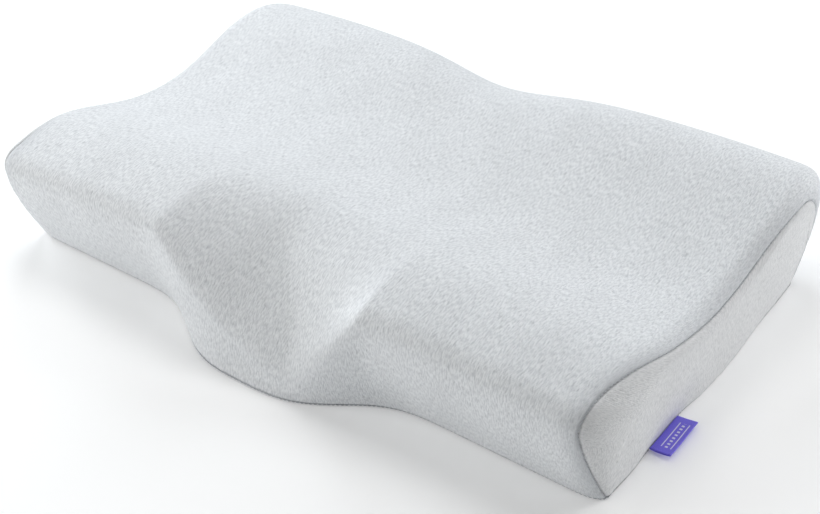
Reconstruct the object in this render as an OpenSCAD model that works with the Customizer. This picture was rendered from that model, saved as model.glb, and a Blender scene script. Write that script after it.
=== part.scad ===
// Contoured neck support pillow: a moulded foam core in an inner liner and a zipped knitted cover.
// +X runs along the length to the label end, +Y to the back, +Z up. The origin is on the bed,
// under the middle of the pillow. Millimetres.

/* [Overall size] */
// Length from end to end
pillow_l = 600; // [560:10:660]
// Depth between the front and back walls, at the wings
pillow_d = 406; // [380:2:420]
// Height of the top surface before the ridges are added
seat_h = 90; // [74:1:98]

/* [Top relief] */
// Rise of the front ridge
front_lift = 25; // [10:1:45]
// Distance of the front ridge in front of the middle
front_y = 142; // [110:1:160]
// Spread of the front ridge
front_spread = 80; // [60:1:110]
// Rise of the back ridge
back_lift = 35; // [10:1:50]
// Distance of the back ridge behind the middle
back_y = 143; // [110:1:165]
// Spread of the back ridge
back_spread = 98; // [60:1:120]
// Rise of the head rest between the wings
mid_lift = 6; // [0:1:25]
// Half width of the head rest
mid_w = 200; // [120:5:260]
// Half depth of the head rest
mid_d = 75; // [50:1:100]
// Fall of the top towards the two ends
end_fall = 12; // [0:1:20]

/* [Neck ramp and bulge] */
// How far the middle of the front edge bulges out
bulge = 13; // [0:1:30]
// How far the base bulges out in the middle of the front
base_bulge = 18; // [0:1:20]
// Half width of the bulge
bulge_w = 89; // [60:1:120]
// Distance of the neck ramp's lowest line to the right of the middle, at the front edge
ramp_x = 42; // [6:1:44]
// Distance of that line to the left of the middle, where the ramp begins
ramp_back_x = 14; // [0:1:20]
// Distance of the neck ramp's left end from the middle
ramp_left = 94; // [88:1:110]
// Distance of the neck ramp's right end from the middle
ramp_right = 104; // [102:1:120]
// How far the neck ramp runs back from the front edge
ramp_d = 104; // [60:1:112]
// Height share of the ramp's foot
ramp_foot = 0.12; // [0.1:0.01:0.5]
// Extra drop of the neck ramp
neck_drop = 10; // [0:1:30]
// Where the extra drop begins, in front of the middle
neck_y = 120; // [90:1:150]

/* [Back edge] */
// How far the middle of the back edge is drawn in
notch = 30; // [0:1:35]
// Half width of the drawn-in back edge
notch_w = 180; // [100:5:220]
// Drop of the back ridge in the middle
back_drop = 32; // [0:1:40]
// Half width of that drop
back_drop_w = 66; // [45:1:100]

/* [Walls and edges] */
// How far the front wall leans in at the base
front_in = 32; // [10:1:40]
// How far the back wall leans in at the base
back_in = 42; // [10:1:46]
// How far the end walls lean in at the base
end_in = 12; // [6:1:20]
// Rounding depth of the front edge
front_round = 15; // [14:1:50]
// Rounding depth of the back edge
back_round = 74; // [20:1:80]
// Height share of the widest line in front
front_wide = 0.87; // [0.6:0.01:0.88]
// Height share of the widest line at the back
back_wide = 0.68; // [0.6:0.01:0.88]
// Rounding of the two ends, along the length
end_round = 20; // [12:1:30]
// Rounding of the two ends, down from the top
end_drop = 18; // [12:1:34]
// Corner radius seen from above
corner_r = 30; // [12:1:34]

/* [Fabric] */
// Thickness of the knitted cover
cover_t = 1.4; // [1:0.1:1.8]
// Thickness of the inner liner
liner_t = 0.8; // [0.6:0.1:1]
// Radius of the seam cords
cord_r = 0.55; // [0.4:0.05:0.6]

/* [Label] */
// Width of the side label
label_w = 44; // [30:1:50]
// How far the side label sticks out
label_out = 17; // [14:1:26]
// Distance of the label's middle in front of the pillow's middle
label_y = 82; // [40:1:100]

/* [Zip] */
// Length of the zip
zip_l = 272; // [200:4:280]
// Height of the zip above the bed
zip_z = 26; // [22:1:30]
// Width of one zip tape
tape_w = 11; // [8:1:12]
// Pitch of the zip teeth
tooth_pitch = 3.2; // [2.8:0.2:5]
// Length of the slider
slider_l = 11; // [9:1:13]
// Length of the pull tab
pull_l = 26; // [18:1:34]

/* [Hidden] */

half_l = pillow_l / 2;
half_d = pillow_d / 2;
// gap left between neighbouring layers
layer_gap = 1;
// the layers' depths below the outer surface
liner_in = cover_t + layer_gap;
core_in = liner_in + liner_t + layer_gap;
// what the zip's inner plate needs behind the left end panel
zip_room = 2.6;
// the layers' heights above the bed
cover_low = 0.5;
liner_low = cover_t + layer_gap;
core_low = liner_low + liner_t + layer_gap;
// shape of the bulge, of the rounded edges, of the neck ramp across and along, and of the walls
bulge_p = 3.3;
edge_p = 2.4;
ramp_flat = 1.3;
ramp_lip = 1.15;
ramp_turn_y = 172;
ramp_turn = 12;
ramp_edge = 1.7;
wall_p = 1.5;
neck_w = 58;
neck_run = 15;
back_drop_y = 158;
back_drop_run = 42;
base_notch = 14;
// how much of the corner rounding is lost at the base, and how soon
corner_fade = 0.82;
corner_p = 0.8;
// height at which the end panel's plane reaches the full half length
end_ref = 110;
end_tilt = atan(end_in / end_ref);
// room for the seam cords at the ends and round the base, the height of the base's cord, and a small gap
seam_room = 2 * cord_r + 0.2;
base_room = 2 * cord_r + 0.8;
cord_z = 1;
fit_gap = 0.1;

// the zip, in the end panel's frame: heights are outwards from the panel's face
zip_y = -6;
zip_s = zip_z / cos(end_tilt);
slot_l = zip_l + 4;
slot_h = 10;
tape_l = zip_l + 10;
tape_t = 0.5;
tape_h = -cover_t - 0.15 - tape_t;
teeth_gap = 0.55;
teeth_root = 1.1;
teeth_reach = 1.5;
teeth_t = 1.5;
teeth_h = tape_h + tape_t / 2 - teeth_t / 2;
stop_l = 3;
stop_x = zip_l / 2 - stop_l / 2 + 1.8;
slider_x = stop_x - stop_l / 2 - slider_l / 2 - 1;
plate_w = 8.4;
plate_t = 0.9;
plate_h = teeth_h + teeth_t + 0.3;
inner_h = teeth_h - 0.35 - plate_t;
post_l = 3;
post_t = 0.44;
lug_s = 3.5;
lug_t = 0.9;
lug_l = 3.2;
pin_r = 0.5;
pin_h = plate_h + plate_t + 2;
bore_r = 0.85;
knuckle_r = 1.5;
knuckle_w = 5.2;
pull_w = 8;
pull_t = 0.9;

// the label and its stitches
label_t = 1.3;
label_fold = 0.3;
label_z = 3.2;
label_x = half_l - end_in + label_z * tan(end_tilt) + label_t / 2 + 0.4;
n_stitch = 11;
stitch_pitch = (label_w - 4) / n_stitch;
stitch_x0 = -label_y - label_w / 2 + 2;
stitch_s = 7;

// stations along the length and in each end rounding, points across the top and up each wall
n_long = 34;
n_round = 4;
n_top = 28;
n_wall = 4;
n_cord = 6;
n_station = n_long + 1 + 2 * n_round;
n_around = n_top + 1 + 2 * n_wall;

function bell(t) = exp(-t * t);
function ramp01(t) = 1 / (1 + exp(-t));
function clamp01(t) = max(0, min(1, t));
function mix(a, b, k) = a + (b - a) * k;
function arc01(t, p) = pow(max(0, 1 - pow(1 - clamp01(t), p)), 1 / p);
function sgn(t) = t < 0 ? -1 : 1;
function mid_front(x) = exp(-pow(abs(x / bulge_w), bulge_p));
function mid_ramp(x, y) =
  let (
    low_x = mix(-ramp_back_x, ramp_x, ramp01((-y - ramp_turn_y) / ramp_turn)),
    t = clamp01(x < low_x ? (low_x - x) / (low_x + ramp_left) : (x - low_x) / (ramp_right - low_x))
  )
  pow(1 - pow(t, ramp_flat), ramp_lip);
function mid_back(x) = bell(x / notch_w);

// height of the top surface before the edges are rounded
function top_z(x, y) =
  seat_h
  + front_lift * bell((y + front_y) / front_spread)
  + back_lift * bell((y - back_y) / back_spread)
  + mid_lift * bell(x / mid_w) * bell(y / mid_d)
  - end_fall * pow(x / half_l, 2)
  - neck_drop * bell(x / neck_w) * ramp01((-y - neck_y) / neck_run)
  - back_drop * bell(x / back_drop_w) * ramp01((y - back_drop_y) / back_drop_run);

// stations along the length, each [share of the straight part, openness, turn of the end rounding]
function stations() = concat(
  [for (k = [n_round:-1:1]) [-1, cos(90 * k / n_round), sin(90 * k / n_round)]],
  [for (k = [0:n_long]) [2 * k / n_long - 1, 1, 0]],
  [for (k = [1:n_round]) [1, cos(90 * k / n_round), sin(90 * k / n_round)]]
);

// a point of the body. st is a station, v runs across the top from -1 in front to 1 at the back, w
// down the wall to 1 at the base. d is the depth below the outer surface, room what the left end
// keeps free besides, low the height of the layer's base
function body_at(st, v, w, d, room, low) =
  let (
    d_end = d + (st[0] < 0 ? room : 0),
    x = st[0] * (half_l - end_round) + sgn(st[0]) * st[2] * (end_round - d_end),
    shut = 1 - st[1],
    cf = mid_front(x),
    cb = mid_back(x),
    r_corner = corner_r - d,
    t_corner = clamp01((abs(x) - (half_l - d_end - r_corner)) / r_corner),
    cut_top = r_corner * (1 - sqrt(1 - t_corner * t_corner)) + (end_round - d) * shut,
    wide_f = d - half_d - bulge * cf,
    wide_b = half_d - d - notch * cb,
    share = 0.5 + 0.5 * sgn(v) * (1 - pow(1 - abs(v), 1.5)),
    y_top = mix(wide_f, wide_b, share),
    k_f = arc01((y_top - wide_f) / front_round, edge_p),
    k_r = arc01((y_top - wide_f) / ramp_d, ramp_edge),
    k_b = arc01((wide_b - y_top) / back_round, 2),
    drop_f = mix((1 - front_wide) * (1 - k_f), (1 - ramp_foot) * (1 - k_r), mid_ramp(x, y_top)),
    drop_b = (1 - back_wide) * (1 - k_b),
    z_top = (top_z(x, y_top) - d) * (1 - drop_f - drop_b) - (end_drop - d) * shut,
    z = mix(z_top, low, w),
    // the walls' lean and the corners' rounding go by height, the same for every layer
    down = 1 - min(1, z / z_top),
    lean = pow(down, wall_p),
    cut = cut_top * (1 - corner_fade * pow(down, corner_p)),
    lean_f = mix(front_in, bulge - base_bulge, cf) * lean,
    lean_b = (back_in + (base_notch - notch) * cb) * lean,
    lean_end = end_in * (1 - z / end_ref) * pow(abs(x) / (half_l - d_end), 6)
  )
  [x - sgn(x) * lean_end, mix(wide_f + lean_f + cut, wide_b - lean_b - cut, share), z];

// the way round a station: up the front wall, over the top and down the back wall
function around() = concat(
  [for (k = [0:n_wall - 1]) [-1, 1 - k / n_wall]],
  [for (k = [0:n_top]) [2 * k / n_top - 1, 0]],
  [for (k = [1:n_wall]) [1, k / n_wall]]
);
// back along the base, from the back wall to the front wall
function along_base() = [for (k = [n_top - 1:-1:1]) [2 * k / n_top - 1, 1]];
function grid(way, d, room, low) =
  [for (st = stations()) for (p = way) body_at(st, p[0], p[1], d, room, low)];
// two triangles for each cell of a grid of points, turned over where flip is true
function cell(a, b, c, e, flip) = flip ? [[a, c, b], [a, e, c]] : [[a, b, c], [a, c, e]];

// a skin between depth d and depth d + t, open at the base and at both ends
module skin(d, t, room, low) {
  m = n_around;
  all = n_station * m;
  way = around();
  points = concat(grid(way, d, room, low), grid(way, d + t, room, low));
  outer = [for (i = [0:n_station - 2]) for (j = [0:m - 2])
    each cell(i * m + j, i * m + j + 1, (i + 1) * m + j + 1, (i + 1) * m + j, false)];
  inner = [for (f = outer) [f[0] + all, f[2] + all, f[1] + all]];
  rim_ends = [for (j = [0:m - 2]) each concat(
    cell(j, all + j, all + j + 1, j + 1, false),
    cell(all - m + j, 2 * all - m + j, 2 * all - m + j + 1, all - m + j + 1, true)
  )];
  rim_base = [for (i = [0:n_station - 2]) each concat(
    cell(i * m, (i + 1) * m, all + (i + 1) * m, all + i * m, false),
    cell(i * m + m - 1, (i + 1) * m + m - 1, all + (i + 1) * m + m - 1, all + i * m + m - 1, true)
  )];
  polyhedron(points, concat(outer, inner, rim_ends, rim_base), convexity = 8);
}

// outlines, drawn as lists of [x, y]
function profile(d, low) = [for (p = around())
  let (q = body_at([1, 0, 1], p[0], p[1], d, 0, low)) [q[1], q[2] / cos(end_tilt)]];
// the body's outline at a height near the base
function base_outline(d, room, height) = concat(
  [for (st = stations()) let (q = body_at(st, -1, 1, d, room, height)) [q[0], q[1]]],
  [for (k = [n_station - 1:-1:0]) let (q = body_at(stations()[k], 1, 1, d, room, height)) [q[0], q[1]]]
);
function unit(a) = a / norm(a);
// the inward normal at each point of an outline
function inward(pts, turn) = [for (i = [0:len(pts) - 1])
  let (t = unit(pts[(i + 1) % len(pts)] - pts[(i + len(pts) - 1) % len(pts)])) turn * [-t[1], t[0]]];
function inset(pts, g, turn) =
  let (n = inward(pts, turn)) [for (i = [0:len(pts) - 1]) pts[i] + g * n[i]];

// the frame of the right end panel: x to the back, y up the panel, z outwards
module on_right_end(d) {
  translate([half_l - end_in - d, 0, 0]) rotate([0, end_tilt, 0]) rotate([90, 0, 90]) children();
}
module on_left_end(d) {
  mirror([1, 0, 0]) on_right_end(d) children();
}
module end_slab(d, t, g, low) {
  translate([0, 0, -t]) linear_extrude(height = t) polygon(inset(profile(d, low), g, -1));
}

module foam_core() {
  way = concat(around(), along_base());
  m = len(way);
  ends = [0, n_station - 1];
  caps = [for (e = ends) for (k = [1:n_top - 1]) for (j = [1:n_wall - 1])
    body_at(stations()[e], 2 * k / n_top - 1, j / n_wall, core_in, zip_room, core_low)];
  points = concat(grid(way, core_in, zip_room, core_low), caps);
  // the number of a cap's point, k across and j down, on end e
  function cap_point(e, k, j) =
    j == 0 ? ends[e] * m + n_wall + k
    : k == 0 ? ends[e] * m + n_wall - j
    : k == n_top ? ends[e] * m + n_wall + n_top + j
    : j == n_wall ? ends[e] * m + n_around + n_top - 1 - k
    : n_station * m + (e * (n_top - 1) + k - 1) * (n_wall - 1) + j - 1;
  body = [for (i = [0:n_station - 2]) for (j = [0:m - 1])
    each cell(i * m + j, i * m + (j + 1) % m, (i + 1) * m + (j + 1) % m, (i + 1) * m + j, false)];
  cap = [for (e = [0, 1]) for (k = [0:n_top - 1]) for (j = [0:n_wall - 1])
    each cell(cap_point(e, k, j), cap_point(e, k, j + 1), cap_point(e, k + 1, j + 1),
      cap_point(e, k + 1, j), e == 1)];
  color("#F2EAD2") polyhedron(points, concat(body, cap), convexity = 8);
}

module liner_top() {
  color("#F4F4F2") skin(liner_in, liner_t, zip_room, liner_low);
}
module liner_end_right() {
  color("#F4F4F2") on_right_end(liner_in) end_slab(liner_in, liner_t, layer_gap, liner_low);
}
module liner_end_left() {
  color("#F4F4F2") on_left_end(liner_in + zip_room) end_slab(liner_in, liner_t, layer_gap, liner_low);
}
module liner_base() {
  outline = inset(base_outline(liner_in + liner_t, zip_room, liner_low + liner_t / 2), layer_gap, 1);
  color("#F4F4F2") translate([0, 0, liner_low]) linear_extrude(height = liner_t) polygon(outline);
}

module cover_top() {
  color("#D9DCDF") skin(0, cover_t, 0, cover_low);
}
module cover_end_right() {
  color("#D3D6D9") on_right_end(0) end_slab(0, cover_t, seam_room, cover_low);
}
module cover_end_left() {
  color("#D3D6D9") on_left_end(0) difference() {
    end_slab(0, cover_t, seam_room, cover_low);
    translate([zip_y - slot_l / 2, zip_s - slot_h / 2, -2 * cover_t]) cube([slot_l, slot_h, 4 * cover_t]);
  }
}
module cover_base() {
  outline = inset(base_outline(0, 0, cover_t / 2), cover_t + base_room, 1);
  color("#C9CDD1") linear_extrude(height = cover_t) polygon(outline);
}

// the cord of stitches in the joint between the top and an end panel
module end_cord() {
  line = profile(0, cover_low);
  n = inward(line, -1);
  last = len(line) - 1;
  // the first and last points of the open line take their neighbours' normals
  function side(i) = n[max(1, min(last - 1, i))];
  points = [for (i = [0:last]) for (k = [0:n_cord - 1])
    let (a = 360 * k / n_cord, q = line[i] + side(i) * (seam_room / 2 + cord_r * cos(a)))
    [q[0], q[1], cord_r * sin(a) - 0.5 * cord_r]];
  tube = [for (i = [0:last - 1]) for (k = [0:n_cord - 1])
    each cell(i * n_cord + k, i * n_cord + (k + 1) % n_cord, (i + 1) * n_cord + (k + 1) % n_cord,
      (i + 1) * n_cord + k, false)];
  caps = [[for (k = [n_cord - 1:-1:0]) k], [for (k = [0:n_cord - 1]) last * n_cord + k]];
  polyhedron(points, concat(tube, caps), convexity = 6);
}
module seam_end_right() {
  color("#B9BDC2") on_right_end(0) end_cord();
}
module seam_end_left() {
  color("#B9BDC2") on_left_end(0) end_cord();
}
module seam_base() {
  line = inset(base_outline(0, 0, cord_z), cover_t + base_room / 2, 1);
  n = inward(line, 1);
  count = len(line);
  points = [for (i = [0:count - 1]) for (k = [0:n_cord - 1])
    let (a = 360 * k / n_cord, q = line[i] + n[i] * cord_r * cos(a))
    [q[0], q[1], cord_z + cord_r * sin(a)]];
  tube = [for (i = [0:count - 1]) for (k = [0:n_cord - 1])
    each cell(i * n_cord + k, i * n_cord + (k + 1) % n_cord,
      ((i + 1) % count) * n_cord + (k + 1) % n_cord, ((i + 1) % count) * n_cord + k, true)];
  color("#B9BDC2") polyhedron(points, tube, convexity = 6);
}

// the zip is drawn in the left end panel's frame, its line along x at height zip_s
module zip_frame() {
  on_left_end(0) translate([zip_y, zip_s, 0]) children();
}
module tape() {
  translate([-tape_l / 2, teeth_reach + fit_gap, tape_h]) cube([tape_l, tape_w, tape_t]);
}
module teeth(shift) {
  n = floor(zip_l / tooth_pitch);
  start = -n * tooth_pitch / 2;
  half = 0.28 * tooth_pitch;
  points = concat(
    [for (i = [0:n - 1]) let (x = start + (i + 0.25 + shift) * tooth_pitch)
      each [[x - half, teeth_root], [x - half, teeth_gap], [x + half, teeth_gap], [x + half, teeth_root]]],
    [[start + n * tooth_pitch, teeth_root], [start + n * tooth_pitch, teeth_reach],
      [start, teeth_reach], [start, teeth_root]]
  );
  translate([0, 0, teeth_h]) linear_extrude(height = teeth_t) polygon(points);
}
module zip_tape_upper() {
  color("#C4C8CC") zip_frame() tape();
}
module zip_tape_lower() {
  color("#C4C8CC") zip_frame() mirror([0, 1, 0]) tape();
}
module zip_teeth_upper() {
  color("#AEB2B7") zip_frame() teeth(0);
}
module zip_teeth_lower() {
  color("#AEB2B7") zip_frame() mirror([0, 1, 0]) teeth(0.5);
}
module stop() {
  translate([-stop_l / 2, -teeth_reach, teeth_h]) cube([stop_l, 2 * teeth_reach, teeth_t]);
}
module zip_stop_front() {
  color("#8D9196") zip_frame() translate([-stop_x, 0, 0]) stop();
}
module zip_stop_back() {
  color("#8D9196") zip_frame() translate([stop_x, 0, 0]) stop();
}
// the slider, closed against the back stop: two plates joined by a post, with lugs for the pull
module zip_slider() {
  color("#8D9196") zip_frame() translate([slider_x, 0, 0]) union() {
    translate([-slider_l / 2, -plate_w / 2, plate_h]) cube([slider_l, plate_w, plate_t]);
    translate([-slider_l / 2, -plate_w / 2, inner_h]) cube([slider_l, plate_w, plate_t]);
    translate([slider_l / 2 - post_l, -post_t / 2, inner_h]) cube([post_l, post_t, plate_h - inner_h + plate_t]);
    for (side = [-1, 1]) translate([-lug_l / 2, side * lug_s - lug_t / 2, plate_h])
      cube([lug_l, lug_t, pin_h + pin_r + 0.3 - plate_h]);
    translate([0, 0, pin_h]) rotate([90, 0, 0]) cylinder(h = 2 * lug_s, r = pin_r, center = true, $fn = 32);
  }
}
// the pull, folded towards the front along the zip
module zip_pull() {
  color("#8D9196") zip_frame() translate([slider_x, 0, pin_h]) difference() {
    union() {
      rotate([90, 0, 0]) cylinder(h = knuckle_w, r = knuckle_r, center = true, $fn = 32);
      translate([-pull_l + pull_w / 2, 0, -pull_t / 2]) cylinder(h = pull_t, r = pull_w / 2, $fn = 40);
      translate([-pull_l + pull_w / 2, -pull_w / 2, -pull_t / 2]) cube([pull_l - pull_w, pull_w, pull_t]);
      translate([-pull_w / 2, -knuckle_w / 2, -pull_t / 2]) cube([pull_w / 2, knuckle_w, pull_t]);
    }
    rotate([90, 0, 0]) cylinder(h = 2 * knuckle_w, r = bore_r, center = true, $fn = 32);
    translate([-pull_l + pull_w / 2, 0, -pull_t]) cylinder(h = 2 * pull_t, r = pull_w / 4, $fn = 32);
  }
}

// the label, a folded tape standing out from the base seam; its root turns about the seam
module side_label() {
  color("#5B4BD6") translate([label_x, label_w / 2 - label_y, label_z]) rotate([90, 0, 0])
    linear_extrude(height = label_w) difference() {
      union() {
        circle(r = label_t / 2, $fn = 24);
        translate([0, -label_t / 2]) square([label_out - label_t / 2, label_t]);
        translate([label_out - label_t / 2, 0]) circle(r = label_t / 2, $fn = 24);
      }
      translate([-label_t, -label_fold / 2]) square([label_out, label_fold]);
    }
}
// the row of stitches that holds the label, on the end panel above it
module label_stitching() {
  color("#E6E8EA") on_right_end(0)
    for (k = [0:n_stitch - 1]) translate([stitch_x0 + k * stitch_pitch, stitch_s, 0.03])
      cube([stitch_pitch * 0.6, 0.6, 0.35]);
}

foam_core();
liner_top();
liner_end_right();
liner_end_left();
liner_base();
cover_top();
cover_end_right();
cover_end_left();
cover_base();
seam_end_right();
seam_end_left();
seam_base();
zip_tape_upper();
zip_tape_lower();
zip_teeth_upper();
zip_teeth_lower();
zip_stop_front();
zip_stop_back();
zip_slider();
zip_pull();
side_label();
label_stitching();
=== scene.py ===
"""A contoured neck support pillow in a fitted heather-grey knit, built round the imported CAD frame."""

from math import atan, cos, pi, radians, sin

import bmesh
import bpy
import numpy as np
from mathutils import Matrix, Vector


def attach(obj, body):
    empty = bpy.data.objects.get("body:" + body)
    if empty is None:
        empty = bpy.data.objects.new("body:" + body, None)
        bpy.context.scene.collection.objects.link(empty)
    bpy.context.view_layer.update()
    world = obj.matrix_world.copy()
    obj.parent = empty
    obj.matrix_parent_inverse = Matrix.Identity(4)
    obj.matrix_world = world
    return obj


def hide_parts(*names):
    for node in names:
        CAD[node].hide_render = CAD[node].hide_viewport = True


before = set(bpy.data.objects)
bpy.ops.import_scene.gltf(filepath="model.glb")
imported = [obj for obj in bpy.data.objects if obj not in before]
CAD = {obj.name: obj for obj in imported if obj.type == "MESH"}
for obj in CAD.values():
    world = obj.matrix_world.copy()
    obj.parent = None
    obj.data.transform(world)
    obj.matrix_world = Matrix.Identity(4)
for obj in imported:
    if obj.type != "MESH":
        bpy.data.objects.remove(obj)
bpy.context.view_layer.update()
scene = bpy.context.scene
MM = 0.001

# ---------------------------------------------------------------- camera and studio

CAM_AZIMUTH, CAM_ELEVATION = radians(36.35), radians(34.22)
CAM_TARGET = Vector((0.0148, -0.0209, 0.0133))
CAM_DISTANCE = 1.110
CAM_LENS = 56.7


def add_camera():
    data = bpy.data.cameras.new("camera")
    camera = bpy.data.objects.new("camera", data)
    scene.collection.objects.link(camera)
    back = Vector((sin(CAM_AZIMUTH) * cos(CAM_ELEVATION), -cos(CAM_AZIMUTH) * cos(CAM_ELEVATION),
                   sin(CAM_ELEVATION)))
    camera.location = CAM_TARGET + back * CAM_DISTANCE
    camera.rotation_mode = "QUATERNION"
    camera.rotation_quaternion = (-back).to_track_quat("-Z", "Y")
    data.lens = CAM_LENS
    data.sensor_width = 36
    data.clip_start, data.clip_end = 0.05, 50
    scene.camera = camera


LIGHT_DISTANCE, LIGHT_SIZE = 1.7, 0.9
COOL, PLAIN, WARM = (0.93, 0.97, 1.0), (1.0, 1.0, 1.0), (1.0, 0.985, 0.955)
# name, azimuth and elevation in degrees, power in watts, colour: a big window on the left, paler walls all round
LIGHTS = (
    ("left", 268, 16, 12.5, COOL), ("left_back", 225, 38, 9.5, COOL), ("right_back", 135, 18, 11.0, PLAIN),
    ("front_left", 315, 18, 8.8, WARM), ("right_high", 120, 65, 5.3, PLAIN), ("front", 0, 38, 5.2, WARM),
    ("overhead", 230, 76, 6.0, PLAIN), ("right", 90, 12, 2.8, WARM),
)
WALLS_GLOW, FLOOR_GLOW = 0.07, 0.118


def add_studio():
    world = bpy.data.worlds.new("studio")
    scene.world = world
    world.use_nodes = True
    sky = world.node_tree.nodes["Background"]
    sky.inputs["Color"].default_value = (0.96, 0.98, 1.0, 1)
    sky.inputs["Strength"].default_value = WALLS_GLOW
    for name, azimuth, elevation, power, colour in LIGHTS:
        a, e = radians(azimuth), radians(elevation)
        towards = Vector((sin(a) * cos(e), -cos(a) * cos(e), sin(e)))
        data = bpy.data.lights.new(name, "AREA")
        data.shape = "DISK"
        data.size, data.energy, data.color = LIGHT_SIZE, power, colour
        lamp = bpy.data.objects.new(name, data)
        scene.collection.objects.link(lamp)
        lamp.location = towards * LIGHT_DISTANCE + Vector((0, 0, 0.05))
        lamp.rotation_mode = "QUATERNION"
        lamp.rotation_quaternion = (-towards).to_track_quat("-Z", "Y")
    scene.view_settings.view_transform = "Standard"


# ---------------------------------------------------------------- the body's shape, as in the CAD

HALF_L, HALF_D, SEAT_H = 300.0, 203.0, 90.0
FRONT_LIFT, FRONT_Y, FRONT_SPREAD = 25.0, 142.0, 80.0
BACK_LIFT, BACK_Y, BACK_SPREAD = 35.0, 143.0, 98.0
MID_LIFT, MID_W, MID_D, END_FALL = 6.0, 200.0, 75.0, 12.0
BULGE, BASE_BULGE, BULGE_W, BULGE_P = 13.0, 18.0, 89.0, 3.3
RAMP_X, RAMP_BACK_X, RAMP_LEFT, RAMP_RIGHT, RAMP_FLAT, RAMP_LIP = 42.0, 14.0, 94.0, 104.0, 1.3, 1.15
RAMP_TURN_Y, RAMP_TURN = 172.0, 12.0
RAMP_D, RAMP_FOOT, RAMP_EDGE = 104.0, 0.12, 1.7
NECK_DROP, NECK_Y, NECK_W, NECK_RUN = 10.0, 120.0, 58.0, 15.0
NOTCH, BASE_NOTCH, NOTCH_W = 30.0, 14.0, 180.0
BACK_DROP, BACK_DROP_W, BACK_DROP_Y, BACK_DROP_RUN = 32.0, 66.0, 158.0, 42.0
FRONT_IN, BACK_IN, END_IN, END_REF = 32.0, 42.0, 12.0, 110.0
FRONT_ROUND, BACK_ROUND, FRONT_WIDE, BACK_WIDE, EDGE_P, WALL_P = 15.0, 74.0, 0.87, 0.68, 2.4, 1.5
END_ROUND, END_DROP, CORNER_R, CORNER_FADE, CORNER_P = 20.0, 18.0, 30.0, 0.82, 0.8
COVER_LOW, CORE_IN, CORE_LOW, ZIP_ROOM = 0.5, 4.2, 4.2, 2.6
EDGE_SPREAD = 1.5
END_TILT = atan(END_IN / END_REF)

# the right end's lower edge is pushed out a little between its corners, but not where the label is sewn in
BOW, BOW_HEIGHT, BOW_REACH = 4.0, 42.0, 172.0
BOW_WAVE, BOW_WAVE_L, BOW_WAVE_START = 0.18, 21.0, 0.6
TUCK_W = 42.0
# the label: its middle, width, how far it stands out, and its hinge
LABEL_Y, LABEL_W, LABEL_OUT, LABEL_X, LABEL_Z = -82.0, 44.0, 17.0, 289.4, 3.2


def bow(y, z):
    free = 1 - np.exp(-((y - LABEL_Y) / TUCK_W) ** 4)
    fade = np.exp(-(z / BOW_HEIGHT) ** 2)
    reach = np.maximum(0, 1 - (y / BOW_REACH) ** 2)
    return BOW * free * fade * reach * (1 + BOW_WAVE * np.sin(y / BOW_WAVE_L + BOW_WAVE_START))


def bell(t):
    return np.exp(-t * t)


def ramp01(t):
    return 1 / (1 + np.exp(-t))


def mix(a, b, k):
    return a + (b - a) * k


def smooth_step(t):
    t = np.clip(t, 0, 1)
    return t * t * (3 - 2 * t)


def arc01(t, p):
    return np.maximum(0, 1 - (1 - np.clip(t, 0, 1)) ** p) ** (1 / p)


def spread(v):
    """Where a point of the top lies between the front and back edges, -1 to 1, closer together at the edges."""
    return np.where(v < 0, -1.0, 1.0) * (1 - (1 - np.abs(v)) ** EDGE_SPREAD)


def top_z(x, y):
    """Height of the top before its edges are rounded."""
    return (SEAT_H + FRONT_LIFT * bell((y + FRONT_Y) / FRONT_SPREAD)
            + BACK_LIFT * bell((y - BACK_Y) / BACK_SPREAD)
            + MID_LIFT * bell(x / MID_W) * bell(y / MID_D) - END_FALL * (x / HALF_L) ** 2
            - NECK_DROP * bell(x / NECK_W) * ramp01((-y - NECK_Y) / NECK_RUN)
            - BACK_DROP * bell(x / BACK_DROP_W) * ramp01((y - BACK_DROP_Y) / BACK_DROP_RUN))


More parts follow.
